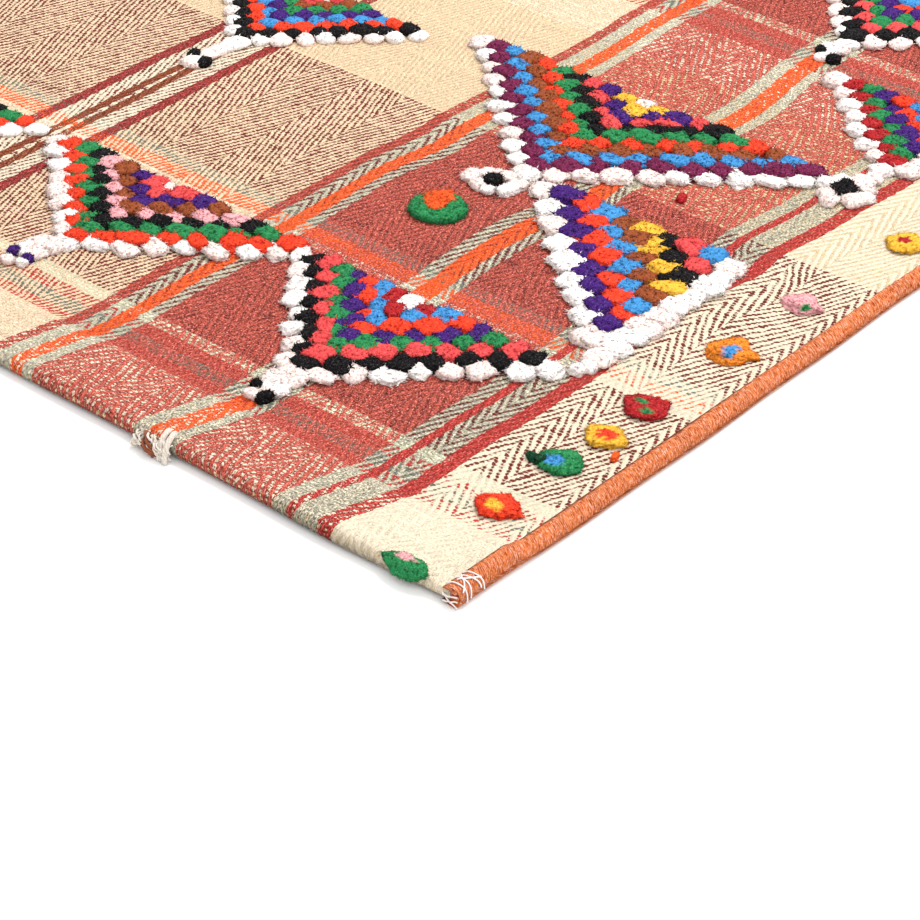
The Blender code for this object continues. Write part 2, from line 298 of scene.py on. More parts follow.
class Finish:
    """A wool material whose nodes come from one method."""

    def __init__(self, name, sheen=0.25):
        self.material = bpy.data.materials.new(name)
        self.material.use_nodes = True
        self.tree = self.material.node_tree
        self.shader = self.tree.nodes["Principled BSDF"]
        self.shader.inputs["Roughness"].default_value = 0.92
        self.shader.inputs["Specular IOR Level"].default_value = 0.1
        self.shader.inputs["Sheen Weight"].default_value = sheen
        self.shader.inputs["Sheen Roughness"].default_value = 0.55

    def put(self, socket, value):
        if isinstance(value, Value):
            self.tree.links.new(value.socket, socket)
        else:
            socket.default_value = value

    def node(self, kind, settings, inputs=()):
        """A node of a kind with its settings, and the values or links of its sockets by place or name."""
        made = self.tree.nodes.new(kind)
        for key, value in settings.items():
            if key == "stops":
                self.set_stops(made.color_ramp, value)
            elif key == "blending":
                made.color_ramp.interpolation = value
            else:
                setattr(made, key, value)
        pairs = inputs.items() if isinstance(inputs, dict) else enumerate(inputs)
        for key, value in pairs:
            self.put(made.inputs[key], value)
        return Value(self, next(out for out in made.outputs if out.enabled))

    def set_stops(self, ramp, stops):
        while len(ramp.elements) < len(stops):
            ramp.elements.new(1.0)
        for element, (place, colour) in zip(ramp.elements, stops):
            element.position = place
            element.color = colour

    def ramp(self, value, stops, blending):
        return self.node("ShaderNodeValToRGB", {"blending": blending, "stops": stops}, [value])

    def place(self, x, y, z=0.0):
        return self.node("ShaderNodeCombineXYZ", {}, [x, y, z])

    def noise(self, place, scale, detail=2.0):
        inputs = {"Vector": place, "Scale": scale, "Detail": detail}
        return self.node("ShaderNodeTexNoise", {}, inputs)

    def chance(self, place):
        """A number from 0 to 1 that is the same wherever the place is the same."""
        return self.node("ShaderNodeTexWhiteNoise", {}, {"Vector": place})

    def attribute(self, name):
        return self.node("ShaderNodeAttribute", {"attribute_name": name})

    def parts(self, triple):
        return self.node("ShaderNodeSeparateXYZ", {}, [triple])

    def mix(self, share, first, second, blend="MIX"):
        settings = {"data_type": "RGBA", "blend_type": blend}
        return self.node("ShaderNodeMix", settings, {0: share, 6: first, 7: second})

    def shaded(self, colour, value):
        """A colour made lighter or darker by a value; a plain colour gives up its alpha."""
        settings = {"operation": "SCALE"}
        if not isinstance(colour, Value):
            colour = colour[:3]
        return self.node("ShaderNodeVectorMath", settings, {0: colour, "Scale": value})

    def deepened(self, colour):
        """The colour times itself: the painted shade of wool in its creases, and darker mottles."""
        return self.mix(1.0, colour, colour, "MULTIPLY")

    def end(self, colour, height, depth):
        """Send the colour and a relief of this depth to the shader."""
        self.put(self.shader.inputs["Base Color"], colour)
        bump = self.node("ShaderNodeBump", {}, {"Height": height, "Distance": depth})
        self.put(self.shader.inputs["Normal"], bump)
        return self.material


# The cloth's finish, in millimetres
WARP_PITCH = 1.2
OAT_PITCH = 0.95
OAT_START = 343.0
WEFT_PITCH = 2.6
DASH_TILT = 0.75
HALF_WIDTH = 520.0
FULL_WIDTH = 1020.0
BAND_REPEAT = 533.0
WARP_STRIPES = (
    (0, "cream"), (74, "coral"), (84, "grey"), (100, "coral"), (107, "grey"), (116, "red"), (190, "grey"),
    (199, "orange"), (212, "grey"), (222, "red"), (305, "grey"), (313, "orange"), (323, "grey"),
    (335, "dull_coral"), (343, "oat"), (480, "deep_red"), (489, "cream"), (500, "brown"), (507, "cream"),
)
WEFT_BANDS = (
    (0, "cream"), (51, "coral"), (62, "slate"), (73, "coral"), (82, "sage"), (93, "madder"),
    (205, "cream"), (213, "orange"), (225, "slate"), (237, "madder"), (384, "ecru"),
)
# Where the twill turns to run the other way
TWILL_TURNS = (0, 12, 48, 64, 92, 107, 116, 136, 152, 172, 190, 206, 222, 243, 262, 284, 318, 330, 372,
               410, 445, 484, 500)
# How far the warp hides the weft, how much its wool is mottled and how clear the twill is, by stripe
WARP_NATURE = (
    (0, 1.16, 0.25, 1.0), (74, 1.9, 0.9, 0.4), (84, 1.05, 1.0, 0.8), (100, 1.7, 0.9, 0.4),
    (107, 1.05, 1.0, 0.8), (116, 1.2, 1.0, 0.2), (190, 1.05, 1.0, 0.8), (199, 1.5, 0.7, 0.45),
    (212, 1.05, 1.0, 0.8), (222, 1.2, 1.0, 0.2), (305, 1.05, 0.7, 0.8), (313, 1.55, 0.7, 0.45),
    (323, 1.05, 0.7, 0.8), (335, 1.5, 0.9, 0.5), (343, 0.9, 0.5, 0.8), (480, 1.4, 0.9, 0.5),
    (489, 1.2, 0.4, 0.8), (500, 1.3, 0.8, 0.5), (507, 1.2, 0.4, 0.8),
)
COVER_RANGE = 2.0
# What each weft band adds to that cover in the field and in the border, and the least clear twill it leaves
BAND_COVER = (
    (0, 0.2, 0.0, 0.7), (51, 0.0, 0.2, 0.0), (62, 0.05, 0.2, 0.1), (73, 0.0, 0.2, 0.0),
    (82, 0.0, 0.2, 0.5), (93, 0.0, -0.1, 0.0), (205, 0.2, 0.4, 0.4), (213, -0.2, 0.4, 0.2),
    (225, 0.0, 0.4, 0.3), (237, 0.0, -0.1, 0.0), (384, 0.2, 0.1, 0.75),
)
# How far the stripes wander along the length
STRIPE_DRIFT = ((0, 5), (48, 0), (200, 0), (300, 6), (360, -4), (383, -1), (450, -6), (510, -9), (600, 0))
DRIFT_LENGTH = 600.0
DRIFT_RANGE = 20.0
# Each twist of a yarn catches the light a little differently
SPECK_LENGTH = 0.9
SPECK_WIDTH = 0.6


def weave_finish():
    """2/2 herringbone: the weft shows as slanting dashes between the warp yarns of each stripe."""
    f = Finish("cloth_weave", 0.0)
    uv = f.parts(f.node("ShaderNodeUVMap", {"uv_map": "weave"}))
    u = uv * 1000
    v = uv.other("Y") * 1000
    here = f.place(u, v)
    inside = v.least(FULL_WIDTH - v)

    # Where each yarn lies: rows of weft along u, lanes of warp across, both a little uneven
    slow = f.noise(here, 0.009, 1.0)
    drift_stops = [(a / DRIFT_LENGTH, (0.5 + shift / DRIFT_RANGE,) * 3 + (1,))
                   for a, shift in STRIPE_DRIFT]
    drift = (f.ramp(u / DRIFT_LENGTH, drift_stops, "EASE") - 0.5) * DRIFT_RANGE * v.step(240, 420, 1, 0)
    wander = (drift + (slow - 0.5) * 8) * inside.step(8, 60)
    row = u + (f.noise(here, 0.012, 1.0) - 0.5) * 5 + (f.noise(f.place(v, u), 0.25, 2.0) - 0.5) * 2.6
    weft = row / WEFT_PITCH
    weft_number = weft.floor()
    weft_share = weft.fraction()
    lane = inside - wander + (f.noise(here, 0.16, 2.0) - 0.5) * 3 + (f.noise(here, 0.55, 2.0) - 0.5) * 1.4
    warp = lane / WARP_PITCH + (lane - OAT_START).most(0.0) * (1 / OAT_PITCH - 1 / WARP_PITCH)
    warp_number = warp.floor()
    half = lane / HALF_WIDTH
    band = (weft_number * WEFT_PITCH / BAND_REPEAT).fraction()

    # The twill's slanting line, and what each stripe and band makes of it
    turns = [(a / HALF_WIDTH, (1 - index % 2,) * 3 + (1,)) for index, a in enumerate(TWILL_TURNS)]
    slant = 1 - f.ramp(half, turns, "CONSTANT") * 2
    line = (weft_number + (weft_share - 0.5) * DASH_TILT + slant * warp) / 4
    wave = (line * (2 * math.pi)).sine()
    nature_stops = [(a / HALF_WIDTH, (cover / COVER_RANGE, mottle, twill, 1))
                    for a, cover, mottle, twill in WARP_NATURE]
    nature = f.parts(f.ramp(half, nature_stops, "CONSTANT"))
    mottle = nature.other("Y")
    cover_stops = [(a / BAND_REPEAT, (0.5 + field, 0.5 + border, clear, 1))
                   for a, field, border, clear in BAND_COVER]
    by_band = f.parts(f.ramp(band, cover_stops, "CONSTANT"))
    is_field = inside.step(78, 84)
    by_stripe = (nature * COVER_RANGE).least(u.step(46, 54, 1.1, 2.0))
    slub = f.noise(here, 0.075, 2.0).step(0.6, 0.72, 0.0, 0.45)
    cover = by_stripe - 0.5 + by_band * is_field + by_band.other("Y") * (1 - is_field) - slub

    # Where the weft shows between the warp yarns
    luck = f.chance(f.place(weft_number, line.floor(), slant))
    twill = nature.other("Z").most(by_band.other("Z"))
    grain = f.noise(here, 1.1, 2.0) - 0.5
    loose = (luck - 0.5) * (twill * 0.9 + 0.3) + grain * (5.4 - twill * 2.7)
    rise = wave * twill + weft_share.crown() * (twill * 1.3) + (1 - twill) + loose
    shown = (rise - cover - twill * 0.3).step(-0.26, 0.26)
    warp_height = warp.fraction().crown() * 0.45 - wave * 0.3
    weft_height = weft_share.crown() * 0.6 + wave * 0.2
    height = warp_height + (weft_height - warp_height) * shown

    # Wool of both, mottled along the yarns, with pale flecks
    warp_wool = f.ramp(half, [(a / HALF_WIDTH, linear(name)) for a, name in WARP_STRIPES], "CONSTANT")
    weft_wool = f.ramp(band, [(a / BAND_REPEAT, linear(name)) for a, name in WEFT_BANDS], "CONSTANT")
    fleck = f.noise(f.place(u / 1.5 + slant * v / 2.2, v / 0.75), 1.0, 3.0) - 0.5
    yarn = f.chance(f.place(warp_number, 1.0)) - 0.5
    # Its wave term paints shade on the warp where the twill line sinks it
    warp_shade = (yarn * 0.16 + fleck * 2.6 - wave * twill * 0.12) * mottle + 1.03
    weft_shade = (f.chance(f.place(weft_number, 2.0)) - 0.5) * 0.3 + fleck * 1.2 + 1.0
    wool = f.mix(shown, f.shaded(warp_wool, warp_shade), f.shaded(weft_wool, weft_shade))
    pale_flecks = (fleck * 3.2).step(0.1, 0.8, 0.0, 0.55) * mottle * (1 - shown * 0.4)
    wool = f.mix(pale_flecks, wool, linear("blush"))

    # Painted shade between the yarns and round and under the near end's fold, wear, dark specks and
    # hairiness
    # Painted shade where the weave's relief is low, between the yarns
    groove_shade = height.step(-0.25, 0.5, 0.6, 0.0) * (mottle * 0.8 + 0.2) * (twill * 0.7 + 0.3)
    worn = f.noise(here, 0.02, 3.0) * 0.2 + 0.9
    tint = f.noise(here, 0.6, 2.0).step(0.35, 0.65)
    wool = f.mix(mottle * 0.35, wool, f.mix(tint, f.deepened(wool), f.shaded(wool, 1.2)))
    # Painted shade round and under the fold of the near end
    fold_shade = u.step(-8.0, 3.0, 0.3, 1.0)
    pepper = f.noise(here, 1.0, 1.0).step(0.34, 0.44, 0.0, 1.0)
    wool = f.mix((1 - pepper) * mottle * u.step(40, 60, 0.85, 0.6), wool, f.shaded(wool, 0.3))
    speck = f.chance(f.place((u / SPECK_LENGTH).floor(), (lane / SPECK_WIDTH).floor(), 3.0)) - 0.5
    fibre = f.noise(here, 0.95, 2.0) - 0.5
    shade = (1 - groove_shade) * worn * fold_shade * (fibre * (mottle * 1.5 + 0.15) + 1.03)
    colour = f.shaded(wool, shade * (speck * (mottle * 0.6 + 0.06) + 1.0))
    return f.end(colour, height + fibre * 0.6, 0.0005)


def tuft_finish():
    """Wool pile: the tuft's own colour, mottled, with painted shade in the creases between its lobes and at
    the roots of its loose fibres.
    """
    f = Finish("tuft_wool", 0.0)
    colour = f.attribute("wool")
    crease = f.attribute("crease").other("Fac")
    here = f.node("ShaderNodeTexCoord", {}).other("Object")
    curl = f.noise(here, 420.0, 3.0)
    ends = f.noise(here, 1200.0, 3.0)
    # Painted shade in the creases and at fibre roots, mixed with darker curls of the wool
    deep = f.shaded(f.deepened(colour), 0.8)
    wool = f.mix((crease * 0.6 + (0.48 - curl) * 2.4).step(0.0, 1.0), colour, deep)
    light = f.mix(0.12, f.shaded(colour, 1.35), linear("white"))
    wool = f.mix(ends.step(0.53, 0.72, 0.0, 0.55), wool, light)
    shade = (curl * 0.8 + 0.66) * (ends * 0.8 + 0.62)
    return f.end(f.shaded(wool, shade), curl + ends * 0.8, 0.0009)


def edge_finish():
    """Overcasting yarn, whose fine strands lie along the wraps, with painted shade in the creases between
    the wraps.
    """
    f = Finish("edge_yarn", 0.0)
    names = ("strand", "crease", "along", "around")
    strand, crease, along, around = (f.attribute(name).other("Fac") for name in names)
    strokes = f.noise(f.place(along * 1.7, around * 7.0), 1.0, 3.0)
    fuzz = f.noise(f.place(along * 1.5, around * 30.0, 4.0), 1.0, 2.0)
    patch = f.noise(f.place(along * 0.07, around), 1.0, 2.0)
    base = f.shaded(linear("edge_orange"), strand * 0.36 + 0.82)
    deep = f.shaded(f.deepened(base), 0.7)
    # Painted shade in the creases between wraps, with darker strokes along the strands
    wool = f.mix((crease * 0.35 + (0.5 - strokes) * 4.2).step(0.0, 1.0), base, deep)
    wool = f.mix((strokes + fuzz * 0.6).step(0.8, 1.06, 0.0, 0.55), wool, linear("blush"))
    shade = (patch * 0.3 + 0.86) * (fuzz * 0.4 + 0.82)
    return f.end(f.shaded(wool, shade), strokes, 0.0004)


def thread_finish(name, wool):
    """Twisted yarn of one colour."""
    f = Finish(name)
    here = f.node("ShaderNodeTexCoord", {}).other("Object")
    ply = f.noise(here, 900.0, 3.0)
    shade = ply * 0.6 + 0.68
    return f.end(f.shaded(linear(wool), shade), ply, 0.0006)


# The cloth
COCKLE_HEIGHT = 0.0005
COCKLES_PER_METRE = 14
HEM_STEPS = 6
NOSE_STEPS = 10
RAMP_STEPS = 5
# The point of a line, past the turned-under end, from which the weave is counted
WEAVE_START = 25
# The corner in the photo has a finer grid than the rest
FINE_END = 0.56
FINE_GRID = 0.007
COARSE_GRID = 0.015
SIDE_STATIONS = (0.0, 0.0035, 0.007, 0.010, 0.015, 0.020, 0.025)


def cockle(u, v):
    """Small lifts of the cloth, which is never quite flat."""
    place = Vector((u * COCKLES_PER_METRE, v * COCKLES_PER_METRE, 0.0))
    return COCKLE_HEIGHT * (1 + noise.noise(place)) * (1 - edge_share(v))


def hem_line(v, is_near):
    """Middle line of a turned-under end, from the cut edge below, round the nose and up to the field."""
    radius = nose_radius(v)
    floor = CLOTH / 2 + edge_lift(v)
    shift = end_wander(v, is_near)
    line = [(between(HEM_DEPTH, radius, step / HEM_STEPS), floor) for step in range(HEM_STEPS)]
    for step in range(NOSE_STEPS + 1):
        turn = math.pi * step / NOSE_STEPS
        line.append((radius - radius * math.sin(turn), floor + radius - radius * math.cos(turn)))
    for step in range(1, HEM_STEPS + 1):
        u = between(radius, HEM_DEPTH, step / HEM_STEPS)
        line.append((u, floor + upper_rise(u, v)))
    for step in range(1, RAMP_STEPS + 1):
        u = HEM_DEPTH + HEM_STEP * step / RAMP_STEPS
        line.append((u, floor + upper_rise(u, v)))
    return [(u + shift + CLOTH / 2, z) for u, z in line]


def spread(start, end):
    """Places from start to end, close together in the part that the photo shows."""
    count = round((FINE_END - start) / FINE_GRID)
    places = [between(start, FINE_END, step / count) for step in range(1, count + 1)]
    count = round((end - FINE_END) / COARSE_GRID)
    return places + [between(FINE_END, end, step / count) for step in range(1, count)]


def cloth_line(v):
    """Middle line of the whole cloth, as points (u, z)."""
    near = hem_line(v, True)
    far = [(LENGTH - u, z) for u, z in reversed(hem_line(v, False))]
    field = [(u, near[-1][1]) for u in spread(near[-1][0], far[0][0])]
    return near + field + far


def build_cloth():
    side = list(SIDE_STATIONS)
    stations = side + spread(side[-1], WIDTH - side[-1]) + [WIDTH - v for v in reversed(side)]
    lines = [cloth_line(v) for v in stations]
    columns = len(lines[0]) - 1
    rows = len(stations) - 1
    bpy.ops.object.select_all(action="DESELECT")
    bpy.ops.mesh.primitive_grid_add(x_subdivisions=columns, y_subdivisions=rows, size=1.0)
    cloth = bpy.context.object
    cloth.name = "cloth_woven"
    mesh = cloth.data
    along = []
    for line in lines:
        run = [0.0]
        for (u, z), (last_u, last_z) in zip(line[1:], line):
            run.append(run[-1] + math.hypot(u - last_u, z - last_z))
        along.append([reach - run[WEAVE_START] + line[WEAVE_START][0] for reach in run])
    weave = mesh.uv_layers[0]
    weave.name = "weave"
    cell = []
    for vertex in mesh.vertices:
        column = round((vertex.co.x + 0.5) * columns)
        row = round((vertex.co.y + 0.5) * rows)
        cell.append((column, row))
        u, z = lines[row][column]
        vertex.co = on_rug(u, stations[row], z + cockle(u, stations[row]))
    for loop in mesh.loops:
        column, row = cell[loop.vertex_index]
        weave.data[loop.index].uv = (along[row][column], stations[row])
    body = cloth.modifiers.new("Thickness", "SOLIDIFY")
    body.thickness = CLOTH
    body.offset = 0
    body.use_even_offset = True
    apply_modifiers(cloth)
    bpy.ops.object.shade_smooth_by_angle(angle=math.radians(50))
    return dress(cloth, weave_finish(), "cloth_weave", "cloth")


# Overcast sides
WRAP = 0.0011
WRAP_RISE = 0.00022
# The thinnest wrap's share of that rise, and how much more the thickest has
WRAP_THIN = 0.7
WRAP_VARIES = 0.6
WRAP_SLANT = 0.55
ARC_POINTS = 10
# A ridge is marked by a wider ring until each ring gets its own place
RIDGE_RING = 1.5
RIDGE_OVER = 1.25
END_FADE = 0.002
LIP_IN = -0.0006
LIP_OUT = 0.0004


def side_wander(u):
    bulge = SIDE_BULGE * (1 + ripple(u - SIDE_BULGE_START, SIDE_BULGE_WAVE))
    return SIDE_RIPPLE * ripple(u, SIDE_RIPPLE_WAVE) - bulge


def side_top(u):
    """Top of the cloth at its side edge, over one layer in the field and two in a turned-under end."""
    inside = min(u, LENGTH - u) - CLOTH / 2
    layers = upper_rise(max(inside, 0), 0) if inside < HEM_DEPTH + HEM_STEP else 0
    return edge_lift(0) + CLOTH + min(max(layers, 0), CLOTH + LAYER_GAP)


def squared(value):
    """A sine or cosine pushed outward, so that the round section fills its box more."""
    return math.copysign(abs(value) ** BINDING_SQUARENESS, value)


def binding_point(u, share, rise=0.0):
    """(v, z) on the overcasting's round side; share runs from its lower lip round to its upper one."""
    height = side_top(u) + BINDING_HEIGHT - BINDING_JAW - CLOTH - GAP
    half = BINDING_WIDTH / 2
    turn = math.radians(between(-BINDING_MOUTH, BINDING_MOUTH - 360, share))
    across, up = squared(math.cos(turn)), squared(math.sin(turn))
    return (half + rise) * across + side_wander(u), height / 2 + (height / 2 + rise) * up


def build_binding(name, node, is_far):
    """One wrap of yarn, modelled once as a ridged ring, arrayed along the side and set round the edge."""
    rng = random.Random(31 + is_far)
    sides = ARC_POINTS + 5
    wraps = round(LENGTH / WRAP)
    bpy.ops.object.select_all(action="DESELECT")
    bpy.ops.mesh.primitive_circle_add(vertices=sides, radius=1.0, fill_type="NOTHING",
                                      rotation=(0.0, math.pi / 2, 0.0))
    binding = bpy.context.object
    binding.name = name
    bpy.ops.object.transform_apply(location=True, rotation=True, scale=True)
    bpy.ops.object.mode_set(mode="EDIT")
    for size in (RIDGE_RING, 1 / RIDGE_RING):
        bpy.ops.mesh.extrude_region_move(TRANSFORM_OT_translate={"value": (WRAP / 2, 0, 0)})
        bpy.ops.transform.resize(value=(1.0, size, size), center_override=(0, 0, 0))
    bpy.ops.object.mode_set(mode="OBJECT")
    row = binding.modifiers.new("Wraps", "ARRAY")
    row.count = wraps
    row.use_relative_offset = True
    row.relative_offset_displace = (1.0, 0.0, 0.0)
    row.use_merge_vertices = True
    row.merge_threshold = WRAP / 10
    apply_modifiers(binding)
    bpy.ops.object.mode_set(mode="EDIT")
    bpy.ops.mesh.select_all(action="SELECT")
    bpy.ops.mesh.fill_holes(sides=0)
    bpy.ops.object.mode_set(mode="OBJECT")

    strand_value = [rng.random() for _ in range(wraps + 2)]
    lip = [rng.uniform(LIP_IN, LIP_OUT) for _ in range(wraps + 2)]
    mesh = binding.data
    marks = {"strand": [], "crease": [], "along": [], "around": []}
    half = BINDING_WIDTH / 2
    for vertex in mesh.vertices:
        turn = math.atan2(vertex.co.z, vertex.co.y) / (2 * math.pi)
        corner = round(turn * sides) % sides
        is_ridge = math.hypot(vertex.co.y, vertex.co.z) > RIDGE_OVER
        ring = round(vertex.co.x / (WRAP / 2))
        wrap = ring // 2
        u = ring * WRAP / 2
        rise = WRAP_RISE * (1 if is_ridge else -1) * (WRAP_THIN + WRAP_VARIES * strand_value[wrap])
        if corner <= ARC_POINTS:
            share = corner / ARC_POINTS
            across, z = binding_point(u, share, rise)
            if corner in (0, ARC_POINTS):
                across += lip[wrap]
            slant = WRAP_SLANT * across * math.copysign(1.0, share - 0.5)
        else:
            inner = ((half, side_top(u) + GAP), (-GAP, side_top(u) + GAP),
                     (-GAP, edge_lift(0) - GAP), (half, edge_lift(0) - GAP))
            across, z = inner[corner - ARC_POINTS - 1]
            slant = 0.0
        ends = smooth(min(u, LENGTH - u) / END_FADE)
        u = min(max(u + slant * ends, 0.0), LENGTH)
        spot = on_rug(u, across, z)
        vertex.co = (-spot.x + 2 * on_rug(LENGTH / 2, 0).x, -spot.y, spot.z) if is_far else spot
        marks["strand"].append(strand_value[wrap])
        # Painted shade: the rings between the ridges are marked as creases
        marks["crease"].append(0.0 if is_ridge else 1.0)
        marks["along"].append(ring * WRAP / 2 * 1000)
        marks["around"].append(corner / ARC_POINTS)
    for mark, values in marks.items():
        mesh.attributes.new(mark, "FLOAT", "POINT").data.foreach_set("value", values)
    bpy.ops.object.mode_set(mode="EDIT")
    bpy.ops.mesh.select_all(action="SELECT")
    bpy.ops.mesh.normals_make_consistent(inside=False)
    bpy.ops.object.mode_set(mode="OBJECT")
    bpy.ops.object.shade_smooth()
    return dress(binding, EDGE, "edge_yarn", node)


# Tufted pile
KNOT_FLOOR = -0.22
TOP_PRESS = 0.72
KNOT_RISE = 0.5 * TOP_PRESS - KNOT_FLOOR
KNOT_SPACING = 3.0
FINE_KNOTS = 14
PLAIN_KNOTS = 8
BROAD_KNOTS = 4
# Painted shade of a knot: how fast it grows where the lobes sink, its least on the body, and its share at
# fibre roots and tips
CREASE_GAIN = 6.0
BODY_CREASE = 0.2
FIBRE_ROOT_CREASE = 0.45
FIBRE_TIP_CREASE = 0.1
FIBRE_SINK = 0.03
FIBRE_LEAN = 0.85
FIBRE_CORNERS = 4
FIBRE_LOWEST = 0.06
LUMP_SIZE = 0.5
LUMP_DEPTH = 0.4
FUZZ_SIZE = 0.09
LOBE_LEVEL = 0.35
# How ragged the border of a patch of another colour is, and how many of its ins and outs fill a metre
PATCH_RAGGED = 0.4
PATCH_GRAIN = 500
# Close-up, plain and broad knots: subdivisions, share of faces kept, boxiness, depth and size of the lobes,
# fuzz, number of loose fibres, their length and their width
FINE_KNOT = (4, 0.22, 0.3, 0.12, 0.17, 0.08, 130, 0.16, 0.03)
PLAIN_KNOT = (2, 1.0, 0.3, 0.0, 1.0, 0.0, 14, 0.18, 0.05)
BROAD_KNOT = (5, 0.2, 0.0, 0.08, 0.13, 0.06, 420, 0.1, 0.018)
PLAIN_NUMBER = 20
BROAD_NUMBER = 40


class Knot:
    """One tuft of wool, a unit across and standing on z = 0, kept as points, faces and the painted shade of
    its creases.
    """

    def __init__(self, piece):
        floor = Vector((0, 0, KNOT_FLOOR))
        self.points = [vertex.co - floor for vertex in piece.data.vertices]
        self.faces = [tuple(face.vertices) for face in piece.data.polygons]
        self.creases = [value.value for value in piece.data.attributes["crease"].data]


def displace(piece, kind, size, strength, mid):
    """Push the surface in and out by a cloud or a cell pattern of that size."""
    texture = bpy.data.textures.new("Wool lobes", kind)
    texture.noise_scale = size
    shift = piece.modifiers.new(kind.title(), "DISPLACE")
    shift.texture = texture
    shift.texture_coords = "GLOBAL"
    shift.strength = strength
    shift.mid_level = mid
    apply_modifiers(piece)


def add_fibres(piece, rng, count, length, width, lowest):
    """Wool ends: slim closed cones that stand out of the surface every way."""
    starts = [vertex.co.copy() for vertex in piece.data.vertices if vertex.co.z > lowest]
    centre = Vector((0, 0, KNOT_FLOOR))
    work_on(piece)
    bpy.ops.object.mode_set(mode="EDIT")
    for _ in range(count):
        start = rng.choice(starts)
        lean = Vector((rng.uniform(-1, 1), rng.uniform(-1, 1), rng.uniform(-0.5, 1)))
        way = ((start - centre).normalized() + lean * FIBRE_LEAN).normalized()
        reach = length * rng.uniform(0.6, 1.4)
        root = width * rng.uniform(0.7, 1.3)
        bpy.ops.mesh.primitive_cone_add(vertices=3, radius1=root, radius2=0.0, depth=reach,
                                        location=piece.location + start + way * (reach / 2 - FIBRE_SINK),
                                        rotation=way.to_track_quat("Z", "Y").to_euler())
    bpy.ops.object.mode_set(mode="OBJECT")


def model_knot(number, fineness, keep, boxiness, lobes, lobe_size, fuzz, fibres, length, width):
    """A ball of wool pressed flat below and trimmed level above, with lobes and loose ends of wool."""
    bpy.ops.object.select_all(action="DESELECT")
    place = (number + 1) * KNOT_SPACING
    bpy.ops.mesh.primitive_ico_sphere_add(subdivisions=fineness, radius=0.5, location=(place, 0, 0))
    piece = bpy.context.object
    displace(piece, "CLOUDS", LUMP_SIZE, LUMP_DEPTH, 0.5)
    if boxiness:
        boxy = piece.modifiers.new("Boxy", "CAST")
        boxy.cast_type = "CUBOID"
        boxy.factor = boxiness
        apply_modifiers(piece)
    before = [vertex.co.length for vertex in piece.data.vertices]
    if lobes:
        displace(piece, "VORONOI", lobe_size, -lobes, LOBE_LEVEL)
        displace(piece, "CLOUDS", FUZZ_SIZE, fuzz, 0.5)
    # Painted shade: each point's crease shade grows with how far the lobes sank it
    crease = piece.data.attributes.new("crease", "FLOAT", "POINT")
    for index, (vertex, start) in enumerate(zip(piece.data.vertices, before)):
        sunk = start - vertex.co.length
        crease.data[index].value = min(max(BODY_CREASE + sunk * CREASE_GAIN, 0.0), 1.0)
    select_vertices(piece, lambda co: co.z > 0)
    bpy.ops.transform.resize(value=(1.0, 1.0, TOP_PRESS), center_override=(place, 0, 0))
    select_vertices(piece, lambda co: co.z < KNOT_FLOOR)
    bpy.ops.transform.resize(value=(1.0, 1.0, 0.0), center_override=(0, 0, KNOT_FLOOR))
    bpy.ops.mesh.dissolve_faces()
    bpy.ops.object.mode_set(mode="OBJECT")
    if keep < 1.0:
        thin = piece.modifiers.new("Fewer faces", "DECIMATE")
        thin.ratio = keep
        apply_modifiers(piece)
    body = len(piece.data.vertices)
    add_fibres(piece, random.Random(number), fibres, length, width, KNOT_FLOOR + FIBRE_LOWEST)
    points = piece.data.vertices
    values = piece.data.attributes["crease"].data
    # Painted shade on the fibres: darker at their roots than at their tips
    for first in range(body, len(points), FIBRE_CORNERS):
        corners = range(first, first + FIBRE_CORNERS)
        tip = max(corners, key=lambda index: points[index].co.length)
        for index in corners:
            values[index].value = FIBRE_TIP_CREASE if index == tip else FIBRE_ROOT_CREASE
    knot = Knot(piece)
    bpy.data.objects.remove(piece, do_unlink=True)
    return knot


class Pile:
    """Tufts that are worked into the cloth side by side and make one piece."""

    def __init__(self):
        self.points = []
        self.faces = []
        self.wools = []
        self.creases = []

    def work(self, knot, place, size, turn, wool, patches=(), bend=None, lean=Vector()):
        """Add a tuft at a place; patches are places of another colour on it, and its top leans by lean."""
        first = len(self.points)
        matrix = Matrix.Translation(place) @ Matrix.Rotation(turn, 4, "Z")
        base = linear(wool)
        for point, crease in zip(knot.points, knot.creases):
            up = point.z / KNOT_RISE
            spot = matrix @ Vector((point.x * size[0], point.y * size[1], up * size[2])) + lean * up
            colour = base
            for centre_u, centre_v, radius_u, radius_v, other in patches:
                far = math.hypot((spot.x - centre_u) / radius_u, (spot.y - centre_v) / radius_v)
                if far < 1 + PATCH_RAGGED * noise.noise(spot * PATCH_GRAIN):
                    colour = linear(other)
            self.points.append(bend(spot) if bend else on_rug(*spot))
            self.wools.append(colour)
            self.creases.append(crease)
        self.faces += [tuple(corner + first for corner in face) for face in knot.faces]

    def finish(self, name, slot_name, *nodes):
        mesh = bpy.data.meshes.new(name)
        mesh.from_pydata(self.points, [], self.faces)
        wool = mesh.color_attributes.new("wool", "FLOAT_COLOR", "POINT")
        wool.data.foreach_set("color", [channel for colour in self.wools for channel in colour])
        crease = mesh.attributes.new("crease", "FLOAT", "POINT")
        crease.data.foreach_set("value", self.creases)
        piece = add_object(name, mesh)
        work_on(piece)
        bpy.ops.object.shade_smooth()
        return dress(piece, TUFT, slot_name, *nodes)


